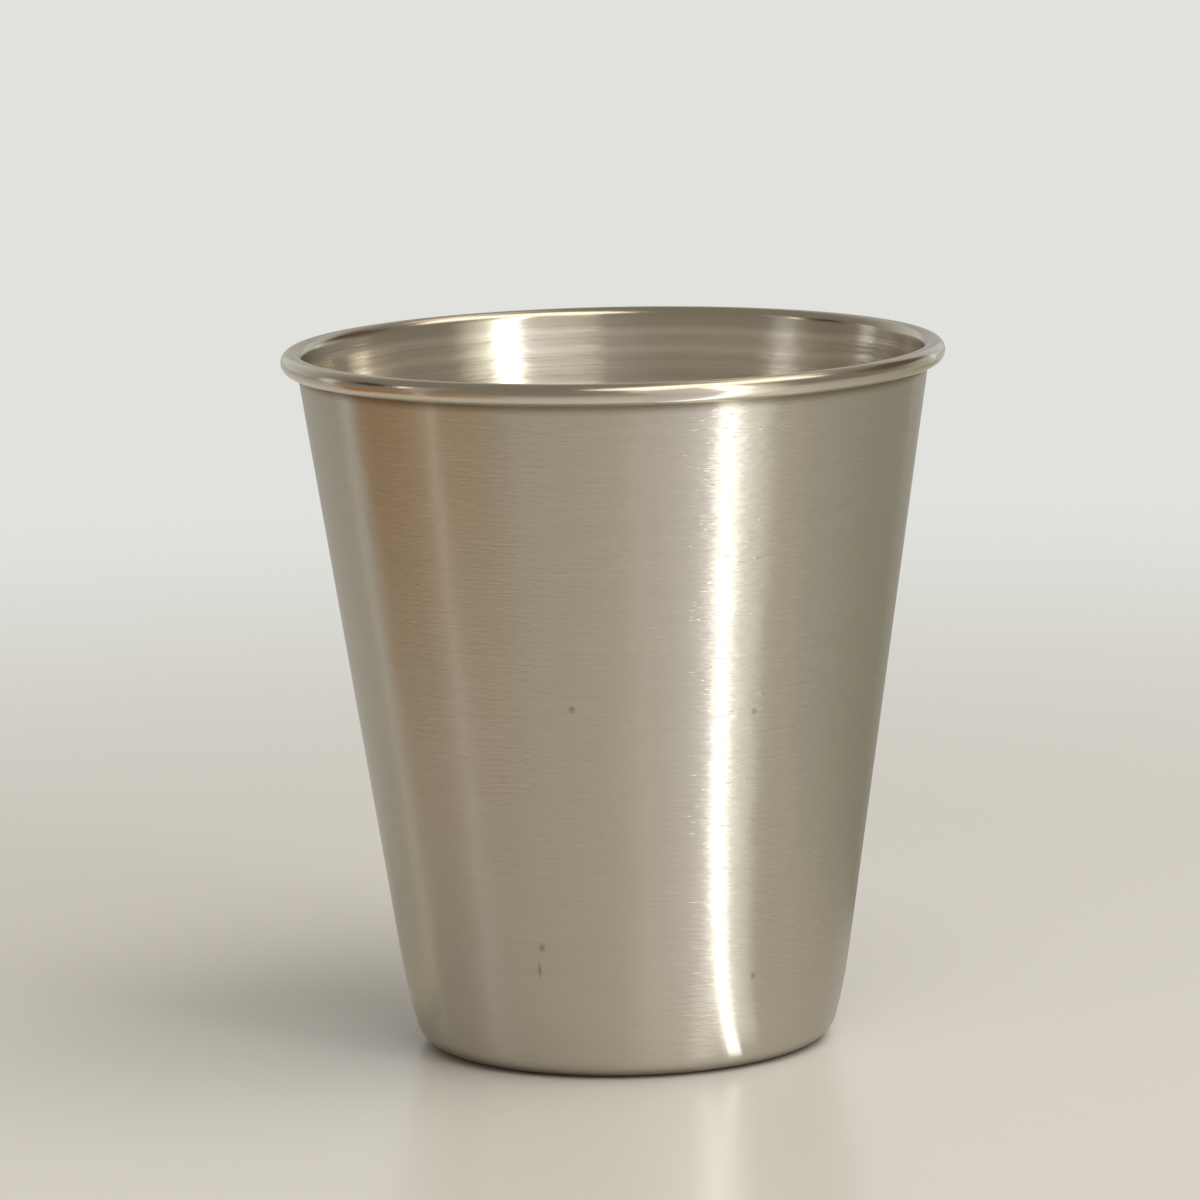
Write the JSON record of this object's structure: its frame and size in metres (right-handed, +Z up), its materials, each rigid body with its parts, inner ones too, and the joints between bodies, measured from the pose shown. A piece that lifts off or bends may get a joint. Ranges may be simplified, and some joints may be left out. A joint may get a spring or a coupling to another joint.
{
  "type": "metal tumbler",
  "caption": "Tapered double-walled metal tumbler: satin shell, bright inner cup and a rolled bead at the rim; stands on a flat ring, open at the top to hold a drink.",
  "frame": {"origin": "centre of the standing ring, on the axis, in the plane of the table", "axes": "+Z up the axis and out of the open mouth; the part is round, so X and Y have no marks of their own"},
  "size_m": [0.071, 0.071, 0.0755],
  "materials": {
    "satin_steel": "satin, brushed round the axis",
    "bright_steel": "bright, with faint spinning lines"
  },
  "bodies": {
    "root": {"outer_shell": "satin_steel", "inner_cup": "bright_steel"}
  },
  "joints": []
}
